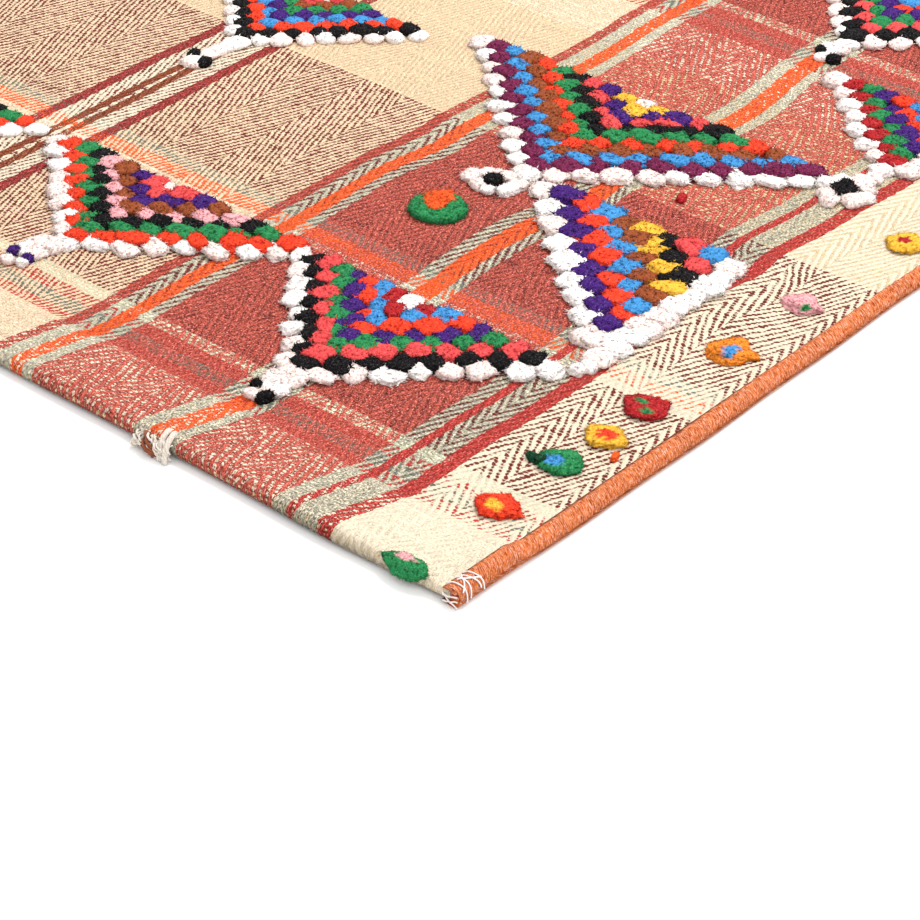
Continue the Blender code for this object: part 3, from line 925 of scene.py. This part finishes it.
# Motifs: tip is where the head ends and the stepped body begins
MOTIF_REPEAT = 0.533
MOTIF_COLUMNS = ("name", "tip_u", "centre_v", "steps", "pitch_u", "pitch_up", "pitch_down", "lines_down")
NEAR_MOTIFS = (
    ("arrow", 0.0910, 0.2035, 9, 0.0125, 0.0106, 0.0131, 8),
    ("arrow", 0.1090, 0.4040, 9, 0.0107, 0.0118, 0.0146, 7),
    ("half_low", 0.2180, 0.0865, 10, 0.0140, 0.0157, 0.0157, 0),
    ("broad", 0.3530, 0.2510, 11, 0.0115, 0.0134, 0.0148, 9),
    ("half_high", 0.4993, 0.0884, 8, 0.0114, 0.0127, 0.0127, 1),
)
MIDDLE_MOTIF = ("middle", 0.3630, 0.5100, 9, 0.0107, 0.0109, 0.0109, 8)
MOTIF_REPEATS = {"arrow": 3, "half_low": 3, "broad": 2, "half_high": 2, "middle": 2}
# Colours of the nested rows, from the outside in
NESTS = (
    ("white", "black", "rose", "green", "purple", "vermilion", "sky", "crimson", "white"),
    ("white", "vermilion", "green", "black", "pink", "brown", "purple", "rose", "white"),
    ("white", "purple", "vermilion", "sky", "brown", "yellow", "black", "rose", "sky", "green", "white",
     "plum"),
    ("white", "plum", "sky", "brown", "vermilion", "green", "black", "rose", "purple", "yellow", "white"),
    ("white", "crimson", "green", "purple", "vermilion", "sky", "black", "rose", "white"),
    ("white", "black", "vermilion", "sky", "purple", "green", "brown", "rose", "white"),
)
# Heads and necks, in millimetres from the tip: along, across, width, wool
HEADS = (
    ((-20, 2, 11, "white"), (-13, 6, 9, "black"), (-18, -6, 10, "black"), (-14, -1, 11, "white"),
     (-7, 1, 17, "white"), (0, 1, 18, "white")),
    ((-28, 10, 10, "white"), (-27, 3, 9, "white"), (-20, 15, 7, "purple"), (-22, 4, 9, "purple"),
     (-19, 9, 10, "white"), (-13, 12, 13, "white"), (-12, 4, 14, "white"), (-4, 8, 16, "white"),
     (-3, 2, 14, "white"), (3, 4, 14, "white")),
    (),
    ((-19, 22, 12, "white"), (-24, 14, 12, "white"), (-23, 5, 12, "white"), (-17, -4, 13, "white"),
     (-9, -4, 12, "white"), (-10, 18, 11, "white"), (-15, 10, 11, "black"), (-3, 5, 14, "white"),
     (-5, 12, 10, "white"), (6, 6, 13, "white")),
    ((-46, 3, 14, "white"), (-40, 11, 12, "white"), (-28, 16, 15, "white"), (-19, 11, 11, "white"),
     (-37, -9, 13, "white"), (-29, -13, 13, "white"), (-20, -9, 12, "white"), (-14, 1, 15, "white"),
     (-4, -2, 14, "white"), (-29, 2, 16, "black"), (-22, 7, 8, "black")),
    ((-35, 0, 14, "white"), (-27, 6, 9, "black"), (-30, -6, 10, "black"), (-18, 0, 15, "white"),
     (-11, -1, 14, "white"), (-4, 0, 14, "white")),
)
# Loose white tufts that join the first arrow to its neighbour: u, v, width
JOINING_TUFTS = ((0.2075, 0.087, 0.012), (0.2135, 0.083, 0.011))
TUFT_SPREAD = 1.36
TUFT_JITTER = 0.0016
TUFT_LEAN = 0.0018
TUFT_LEAST = 0.78
TUFT_MOST = 1.2
TUFT_TURN = 0.6
SHORTEST_PILE = 0.8
# White tufts lie lower than the rest, and some of them are a little pinker
OUTER_HEIGHT = 0.8
OUTER_SIZE = 0.99
BLUSH_SHARE = 0.5


def build_motif(number, row, repeat, mirrored, name):
    """Nested rows of tufts, wider by one tuft each way at every step from the tip."""
    motif = dict(zip(MOTIF_COLUMNS, row))
    is_close = repeat == 0 and not mirrored and row[0] != "middle"
    knots = FINE if is_close else PLAIN
    rng = random.Random(1000 * number + 10 * repeat + mirrored)
    nest = NESTS[number - 1]
    pile = Pile()
    middle = WIDTH - motif["centre_v"] if mirrored else motif["centre_v"]
    flip = -1 if mirrored else 1

    def tuft(along, across, size_u, size_v, wool):
        tall = PILE * rng.uniform(SHORTEST_PILE, 1.0)
        jitter = Vector((rng.uniform(-1, 1), rng.uniform(-1, 1), 0)) * TUFT_JITTER
        lean = Vector((rng.uniform(-1, 1), rng.uniform(-1, 1), 0)) * TUFT_LEAN
        spot = Vector((motif["tip_u"] + repeat * MOTIF_REPEAT + along, middle + flip * across, CLOTH_TOP))
        size_u *= rng.uniform(TUFT_LEAST, TUFT_MOST)
        size_v *= rng.uniform(TUFT_LEAST, TUFT_MOST)
        if wool == "white":
            tall *= OUTER_HEIGHT
            size_u *= OUTER_SIZE
            size_v *= OUTER_SIZE
            if rng.random() < BLUSH_SHARE:
                wool = "blush"
        pile.work(rng.choice(knots), spot + jitter, (size_u, size_v, tall),
                  rng.choice((0, math.pi)) + rng.uniform(-TUFT_TURN, TUFT_TURN), wool, lean=lean)

    for column in range(motif["steps"]):
        for line in range(-min(column, motif["lines_down"]), column + 1):
            pitch_v = motif["pitch_up"] if line > 0 else motif["pitch_down"]
            layer = column - abs(line)
            if row[0].startswith("half") and line == -motif["lines_down"]:
                layer = 0
            tuft((column + 0.5) * motif["pitch_u"], line * pitch_v, motif["pitch_u"] * TUFT_SPREAD,
                 pitch_v * TUFT_SPREAD, nest[layer])
    for along, across, width, wool in HEADS[number - 1]:
        tuft(along / 1000, across / 1000, width / 1000, width / 1000, wool)
    if is_close and number == 1:
        for u, v, width in JOINING_TUFTS:
            tuft(u - motif["tip_u"], v - middle, width, width, "white")
    return pile.finish("tufts_" + name, motif["name"] + "_pile", name)


def build_motifs():
    pieces = []
    for number, row in enumerate(NEAR_MOTIFS, start=1):
        for repeat in range(MOTIF_REPEATS[row[0]]):
            for mirrored, side in ((False, "near"), (True, "far")):
                name = f"{row[0]}_{number}_{side}_{repeat + 1}"
                pieces.append(build_motif(number, row, repeat, mirrored, name))
    for repeat in range(MOTIF_REPEATS["middle"]):
        pieces.append(build_motif(len(NESTS), MIDDLE_MOTIF, repeat, False, f"middle_{repeat + 1}"))
    return pieces


# Single tufts: u, v, size along u, size along v, wool, patches in millimetres
NEAR_DOTS = (
    (0.077, 0.035, 0.022, 0.030, "vermilion", ((-2, 0, 4.5, 5.5, "yellow"),)),
    (0.131, 0.035, 0.022, 0.026, "green", ((-4, 2, 4.5, 6, "sky"),)),
    (0.165, 0.032, 0.022, 0.027, "yellow", ((0, -1, 4.5, 6.5, "vermilion"),)),
    (0.202, 0.033, 0.024, 0.028, "crimson", ((2, 4, 3, 3.5, "green"), (-6, -4, 3, 3.5, "green"))),
    (0.279, 0.033, 0.024, 0.030, "amber", ((-3, -2, 8, 3.5, "sky"),)),
    (0.346, 0.033, 0.019, 0.025, "pink", ((-4, -6, 4, 2.5, "green"),)),
    (0.442, 0.027, 0.023, 0.025, "yellow", ((0, 1, 4.5, 5, "crimson"),)),
)
OTHER_DOT_WOOLS = (("vermilion", "yellow"), ("green", "pink"), ("sky", "amber"), ("crimson", "white"),
                   ("yellow", "purple"), ("pink", "green"), ("purple", "yellow"), ("amber", "sky"))
FIELD_DOT = (0.292, 0.265, 0.038, 0.041)
HEM_DOT = (-0.0040, 0.031, 0.0112, 0.028)
HEM_DOT_HEIGHT = 0.0036
HEM_DOT_POINT = 0.5
FURTHER_DOT_START = 0.560
FURTHER_DOT_STEP = 0.118
FURTHER_DOTS = 8
FAR_DOT_START = 0.105
FAR_DOT_STEP = 0.143
FAR_DOTS = 10
DOT_EDGE = 0.035
DOT_SIZE = 0.022
DOT_LENGTH = 0.026
DOT_HEIGHT = 0.0048
DOT_POINT = 0.42
DOT_RAGGED = 0.22
# Places and sizes of the patches on the other dots and on the dot over the near end, in millimetres
OTHER_PATCH = (0.5, 0.5, 4.5, 5.5)
HEM_PATCH = (3, 2, 2.2, 5, "pink")
# The green dot has a darker bit at its inner end: across, width, height
DARK_LOBE_DOT = "dot_near_2"
DARK_LOBES = ((0.0125, 0.008, 0.0042), (0.0160, 0.007, 0.0034), (0.0100, 0.007, 0.0046))
DARK_LOBE_ALONG = -0.006
DARK_LOBE_SLIM = 0.8
# Waves of a dot's ragged outline, and how low its thin ends lie
DOT_WAVES = 1.4
HEM_DOT_WAVES = 1.6
HEM_DOT_SEED = 3.0
DOT_END_HEIGHT = 0.6
# The ring dot in the field: green lobes as degrees and millimetres, then orange tufts along and across in
# millimetres from its middle
RING_LOBES = ((175, 14), (212, 14), (245, 14), (282, 14), (315, 13), (350, 12), (140, 13), (100, 11),
              (60, 9))
RING_OUT = 0.29
RING_HEIGHT = 0.0048
RING_MIDDLE = ((3, 0), (7, 4), (2, 6), (-1, 1), (9, 0), (6, 8), (10, 4))
MIDDLE_SIZE = 0.0132
MIDDLE_HEIGHT = 0.0056


def build_dot(name, u, v, size_u, size_v, wool, patches, lie=None):
    """One broad tuft that narrows to both its ends, with its patches of another colour."""
    rng = random.Random(name)
    is_close = name == "dot_hem" or (name.startswith("dot_near") and u < FURTHER_DOT_START)
    pile = Pile()
    seed = rng.uniform(0, 90)

    def narrowed(spot):
        share = (spot.y - v) / (size_v / 2)
        slim = 1 - DOT_POINT * min(share * share, 1.0)
        turn = math.atan2(spot.y - v, spot.x - u)
        around = Vector((math.cos(turn) * DOT_WAVES, math.sin(turn) * DOT_WAVES, seed))
        edge = 1 + DOT_RAGGED * noise.noise(around)
        height = spot.z * between(DOT_END_HEIGHT, 1.0, slim)
        return Vector((u + (spot.x - u) * slim * edge, v + (spot.y - v) * edge, height))

    def on_cloth_top(spot):
        return on_rug(spot.x, spot.y, CLOTH_TOP + spot.z + edge_lift(spot.y))

    def flat(spot):
        return on_cloth_top(narrowed(spot))

    places = [(u + a / 1000, v + b / 1000, c / 1000, d / 1000, other) for a, b, c, d, other in patches]
    pile.work(rng.choice(BROAD if is_close else PLAIN), Vector((u, v, 0)),
              (size_u, size_v, HEM_DOT_HEIGHT if lie else DOT_HEIGHT), rng.choice((0, math.pi)), wool,
              places, lie or flat)
    if name == DARK_LOBE_DOT:
        for across, size, tall in DARK_LOBES:
            spot = Vector((u + DARK_LOBE_ALONG, v + across, 0))
            pile.work(rng.choice(FINE), spot, (size, size * DARK_LOBE_SLIM, tall), rng.uniform(0, 3),
                      "pine", (), on_cloth_top)
    return pile.finish("tuft_" + name, "dot_wool", name)


def build_dots():
    pieces = []
    further = [(FURTHER_DOT_START + FURTHER_DOT_STEP * step, DOT_EDGE) for step in range(FURTHER_DOTS)]
    far = [(FAR_DOT_START + FAR_DOT_STEP * step, WIDTH - DOT_EDGE) for step in range(FAR_DOTS)]

    def plain(place, number):
        wool, other = OTHER_DOT_WOOLS[number % len(OTHER_DOT_WOOLS)]
        return (*place, DOT_SIZE, DOT_LENGTH, wool, ((*OTHER_PATCH, other),))

    near = list(NEAR_DOTS) + [plain(place, number) for number, place in enumerate(further)]
    for side, dots in (("near", near), ("far", [plain(place, n + 3) for n, place in enumerate(far)])):
        for number, dot in enumerate(dots, start=1):
            pieces.append(build_dot(f"dot_{side}_{number}", *dot))
    return pieces


def build_field_dot():
    """A ring of green lobes round an orange middle."""
    rng = random.Random(5)
    u, v, size_u, size_v = FIELD_DOT
    pile = Pile()
    for degrees, width in RING_LOBES:
        turn = math.radians(degrees)
        along = math.cos(turn) * size_u * RING_OUT
        across = math.sin(turn) * size_v * RING_OUT
        spot = Vector((u + along, v + across, CLOTH_TOP))
        pile.work(rng.choice(FINE), spot, (width / 1000, width / 1000, RING_HEIGHT), turn, "green")
    for along, across in RING_MIDDLE:
        spot = Vector((u + along / 1000, v + across / 1000, CLOTH_TOP))
        pile.work(rng.choice(FINE), spot, (MIDDLE_SIZE, MIDDLE_SIZE, MIDDLE_HEIGHT), rng.uniform(0, 3),
                  "orange")
    return pile.finish("tuft_dot_field", "dot_wool", "dot_field")


def build_hem_dot():
    """A tuft like the others, bent over the fold of the near end."""
    along, v, size_u, size_v = HEM_DOT

    def bend(spot):
        far = math.atan2(spot.y - v, spot.x - along)
        around = Vector((math.cos(far) * HEM_DOT_WAVES, math.sin(far) * HEM_DOT_WAVES, HEM_DOT_SEED))
        edge = 1 + DOT_RAGGED * noise.noise(around)
        slim = 1 - HEM_DOT_POINT * min(((spot.y - v) / (size_v / 2)) ** 2, 1.0)
        spot = Vector((along + (spot.x - along) * edge * slim, v + (spot.y - v) * edge, spot.z * slim))
        over_u, z = over_nose(spot.x, spot.z + HEM_SEAT)
        return on_rug(over_u + end_wander(spot.y), spot.y, z)

    return build_dot("dot_hem", along, v, size_u, size_v, "green", (HEM_PATCH,), bend)


# Yarn ends and stitches
TASSEL_STRANDS = 76
TASSEL_STEPS = 12
# Brown yarns: which share of the tassel's width they fill, how thick they are and how far they slant
BROWN_FROM = 0.58
BROWN_TO = 0.78
BROWN_RADIUS = (0.0006, 0.0009)
BROWN_SWAY = -0.0085
WHITE_RADIUS = (0.00035, 0.0007)
WHITE_SWAY = 0.003
YARN_START = -0.0064
START_SPREAD = 0.8
LEAST_REACH = 0.5
CURL = (0.0008, 0.0022)
CURL_RATE = 9
ARCH = 0.0012
# Two thicker tails of the tassel: place across and reach in front of the end
TASSEL_TAILS = ((0.2010, 0.0066), (0.2055, 0.0060))
TAIL_STRANDS = 4
TAIL_RADIUS = 0.0009
TAIL_RATE = 8
TAIL_LIFT = 0.0022
TAIL_CURL_UP = 0.0008
TAIL_CURL_ACROSS = 0.0009
TAIL_SLANT = 0.002
TAIL_SEAT = 0.0010
TAIL_BACK = 0.0040
# Thread round the overcasting: start and end along it, start and end as shares of its round side
STITCH_LOOPS = (
    (0.0190, 0.0150, 0.45, 0.98), (0.0165, 0.0105, 0.5, 0.95), (0.0085, 0.0095, 0.45, 0.98),
    (0.0060, 0.0035, 0.40, 1.0), (0.0180, 0.0070, 0.66, 0.86), (0.0030, 0.0120, 0.60, 0.92),
)
STITCH_RADIUS = 0.00042
STITCH_LIFT = 0.0005
# Thread across the corner's end: heights at its start and its end
END_STITCHES = ((0.0012, 0.0070), (0.0055, 0.0022), (0.0082, 0.0060))
END_STITCH_FROM = -0.0055
END_STITCH_TO = 0.0045
END_STITCH_STEPS = 8
STITCH_OUT = 0.0006
STITCH_SAG = 0.0006
STITCH_SHAKE = 0.0003
# Small loose ends of wool on the cloth: name, wool, u, v, size along u, size along v, height
LOOSE_ENDS = (
    ("loose_knot_red", "crimson", 0.398, 0.161, 0.010, 0.006, 0.003),
    ("loose_knot_orange", "orange", 0.153, 0.016, 0.009, 0.004, 0.0025),
)
LOOSE_SHAPE = 3
LOOSE_TURN = 0.4


def lay_yarns(name, material, slot_name, yarns, nodes=()):
    """Round yarns along their points, joined as one piece; each yarn is (points, radius)."""
    curve = bpy.data.curves.new(name, "CURVE")
    curve.dimensions = "3D"
    curve.bevel_depth = 1.0
    curve.bevel_resolution = 2
    curve.resolution_u = 4
    curve.use_fill_caps = True
    for points, radius in yarns:
        spline = curve.splines.new("NURBS")
        spline.points.add(len(points) - 1)
        spline.use_endpoint_u = True
        spline.order_u = 3
        for target, point in zip(spline.points, points):
            target.co = (*point, 1.0)
            target.radius = radius
    work_on(add_object(name, curve))
    bpy.ops.object.convert(target="MESH")
    piece = bpy.context.object
    bpy.ops.object.shade_smooth()
    return dress(piece, material, slot_name, *nodes)


def round_binding(u_start, u_end, share_start, share_end, lift, steps=12):
    """Points of a thread that runs round the near side's overcasting."""
    points = []
    for step in range(steps + 1):
        t = step / steps
        u = between(u_start, u_end, t)
        across, z = binding_point(max(u, 0.0), between(share_start, share_end, t), lift)
        points.append(on_rug(u, across, z))
    return points


def build_corner_stitches():
    """White thread that tacks the overcasting down at the near corner."""
    yarns = [(round_binding(*loop, STITCH_LIFT), STITCH_RADIUS) for loop in STITCH_LOOPS]
    rng = random.Random(4)
    for start, end in END_STITCHES:
        points = []
        for step in range(END_STITCH_STEPS + 1):
            t = step / END_STITCH_STEPS
            across = between(END_STITCH_FROM, END_STITCH_TO, t)
            sag = STITCH_SAG * math.sin(math.pi * t) + rng.uniform(-STITCH_SHAKE, STITCH_SHAKE)
            height = between(start, end, t) + rng.uniform(-STITCH_SHAKE, STITCH_SHAKE)
            points.append(on_rug(-STITCH_OUT - sag, across, height))
        yarns.append((points, STITCH_RADIUS))
    return lay_yarns("corner_stitches", STITCH, "tassel_yarn", yarns)


def build_tassel():
    """White and brown yarn ends that hang over the near end, curled and frayed."""
    rng = random.Random(12)
    drop = HEM_HEIGHT / 2 * (1 + math.pi / 2) - HEM_SEAT
    whites, browns = [], []
    for number in range(TASSEL_STRANDS):
        share = (number + 0.5) / TASSEL_STRANDS
        v = TASSEL_START + TASSEL_WIDTH * share
        is_brown = BROWN_FROM < share < BROWN_TO
        radius = rng.uniform(*(BROWN_RADIUS if is_brown else WHITE_RADIUS))
        start = YARN_START + TASSEL_TOP * rng.uniform(-START_SPREAD, START_SPREAD)
        reach = (start + drop) * rng.uniform(LEAST_REACH, 1.0)
        curl = rng.uniform(*CURL)
        phase = rng.uniform(0, 2 * math.pi)
        sway = BROWN_SWAY if is_brown else rng.uniform(-WHITE_SWAY, WHITE_SWAY)
        points = []
        for step in range(TASSEL_STEPS + 1):
            t = step / TASSEL_STEPS
            turn = phase + t * CURL_RATE
            lift = HEM_SEAT + radius + curl * (1 + math.sin(turn)) + ARCH * math.sin(math.pi * t)
            u, z = over_nose(start - reach * t, lift)
            across = v + sway * t + curl * math.cos(turn)
            points.append(on_rug(u + end_wander(v), across, max(z, radius)))
        (browns if is_brown else whites).append((points, radius))
    for v, reach in TASSEL_TAILS:
        for strand in range(TAIL_STRANDS):
            phase = strand * 2 * math.pi / TAIL_STRANDS
            points = []
            for step in range(TASSEL_STEPS + 1):
                t = step / TASSEL_STEPS
                turn = phase + t * TAIL_RATE
                u, z = over_nose(-drop * t, HEM_SEAT + TAIL_LIFT + TAIL_CURL_UP * math.sin(turn))
                across = v - TAIL_SLANT * t + TAIL_CURL_ACROSS * math.cos(turn)
                out = (reach - TAIL_BACK) * smooth(t * 1.4 - 0.4)
                points.append(on_rug(u - out, across, max(z, TAIL_SEAT)))
            whites.append((points, TAIL_RADIUS))
    head = lay_yarns("tassel_white", FRAYED, "tassel_yarn", whites, ("tassel",))
    streak = lay_yarns("tassel_brown", thread_finish("brown_yarn", "brown"), "tassel_yarn", browns)
    return [head, streak]


def build_loose_knots():
    """The few small ends of coloured wool that were left on the cloth."""
    pieces = []
    for name, wool, u, v, size_u, size_v, tall in LOOSE_ENDS:
        pile = Pile()
        spot = Vector((u, v, CLOTH_TOP + edge_lift(v)))
        pile.work(FINE[LOOSE_SHAPE], spot, (size_u, size_v, tall), LOOSE_TURN, wool)
        pieces.append(pile.finish(name, "dot_wool"))
    return pieces


# Room, light and camera
VIEW_FROM = (-1.000, -0.876, 1.0)
VIEW_HEADING = 41.0
VIEW_DROP = 34.4
VIEW_LENS = 128.35
PAPER_WHITE = 0.92
# Lamps: name, place, size, power
LAMPS = (
    ("key", (1.2, -0.4, 2.9), 1.8, 118.0),
    ("fill", (-1.4, -2.0, 1.8), 1.8, 22.0),
)


def aim(piece, way):
    """Turn a lamp or the camera to look that way."""
    piece.rotation_mode = "QUATERNION"
    piece.rotation_quaternion = way.to_track_quat("-Z", "Y")


def light_room():
    bpy.ops.object.select_all(action="DESELECT")
    bpy.ops.mesh.primitive_plane_add(size=30.0)
    floor = bpy.context.object
    floor.name = "floor"
    paper = bpy.data.materials.new("white_paper")
    paper.use_nodes = True
    shader = paper.node_tree.nodes["Principled BSDF"]
    shader.inputs["Base Color"].default_value = (PAPER_WHITE, PAPER_WHITE, PAPER_WHITE, 1.0)
    shader.inputs["Roughness"].default_value = 0.9
    shader.inputs["Specular IOR Level"].default_value = 0.1
    floor.data.materials.append(paper)

    world = bpy.data.worlds.new("Studio")
    bpy.context.scene.world = world
    world.use_nodes = True
    sky = world.node_tree.nodes["Background"]
    sky.inputs["Color"].default_value = (1.0, 1.0, 1.0, 1.0)
    sky.inputs["Strength"].default_value = 1.0

    for name, place, size, power in LAMPS:
        lamp = bpy.data.lights.new(name, "AREA")
        lamp.size = size
        lamp.energy = power
        holder = add_object(name, lamp)
        holder.location = place
        aim(holder, -Vector(place))

    lens = bpy.data.cameras.new("camera")
    lens.lens = VIEW_LENS
    lens.sensor_width = 36.0
    lens.clip_end = 60.0
    camera = add_object("camera", lens)
    camera.location = on_rug(0, 0) + Vector(VIEW_FROM)
    heading, drop = math.radians(VIEW_HEADING), math.radians(VIEW_DROP)
    level = math.cos(drop)
    ahead = Vector((math.cos(heading) * level, math.sin(heading) * level, -math.sin(drop)))
    aim(camera, ahead)
    bpy.context.scene.camera = camera
    bpy.context.scene.view_settings.view_transform = "Standard"


light_room()
EDGE = edge_finish()
TUFT = tuft_finish()
STITCH = thread_finish("white_yarn", "white")
FRAYED = thread_finish("frayed_yarn", "undyed")
FINE = [model_knot(number, *FINE_KNOT) for number in range(FINE_KNOTS)]
PLAIN = [model_knot(PLAIN_NUMBER + number, *PLAIN_KNOT) for number in range(PLAIN_KNOTS)]
BROAD = [model_knot(BROAD_NUMBER + number, *BROAD_KNOT) for number in range(BROAD_KNOTS)]
cloth = build_cloth()
on_cloth = [build_binding("binding_near_wraps", "binding_near", False),
            build_binding("binding_far_wraps", "binding_far", True)]
on_cloth += build_motifs()
on_cloth += build_dots()
on_cloth += [build_field_dot(), build_hem_dot(), build_corner_stitches()]
on_cloth += build_tassel()
on_cloth += build_loose_knots()
